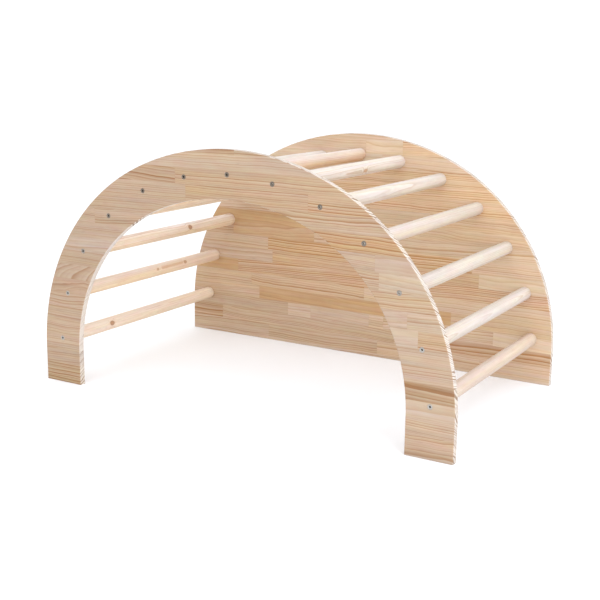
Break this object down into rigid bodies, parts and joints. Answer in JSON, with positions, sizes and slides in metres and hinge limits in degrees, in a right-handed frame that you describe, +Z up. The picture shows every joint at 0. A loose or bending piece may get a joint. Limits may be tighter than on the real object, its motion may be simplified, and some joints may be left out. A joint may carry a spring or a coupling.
{
  "type": "climbing arch",
  "caption": "Low wooden climbing arch: round rungs follow a curved outline between an arch-shaped panel and a solid panel, over a crawl-in tunnel.",
  "frame": {"origin": "on the floor, midway along the length and the depth of the whole object", "axes": "+X along the length, foot to foot; +Y from the arch-shaped front panel to the solid back panel; +Z up"},
  "size_m": [1, 0.585, 0.55],
  "materials": {
    "pine_panel": "sanded, edge-glued and finger-jointed pine staves, clear matt finish",
    "pine_rung": "turned and sanded solid pine, clear matt finish",
    "zinc_screw": "zinc-plated steel"
  },
  "bodies": {
    "root": {"front_arch_panel": "pine_panel", "back_panel": "pine_panel", "rung_01": "pine_rung", "rung_02": "pine_rung", "rung_03": "pine_rung", "rung_04": "pine_rung", "rung_05": "pine_rung", "rung_06": "pine_rung", "rung_07": "pine_rung", "rung_08": "pine_rung", "rung_09": "pine_rung", "rung_10": "pine_rung", "rung_11": "pine_rung", "rung_12": "pine_rung", "rung_13": "pine_rung", "front_connector_screws": "zinc_screw", "back_connector_screws": "zinc_screw"}
  },
  "joints": []
}
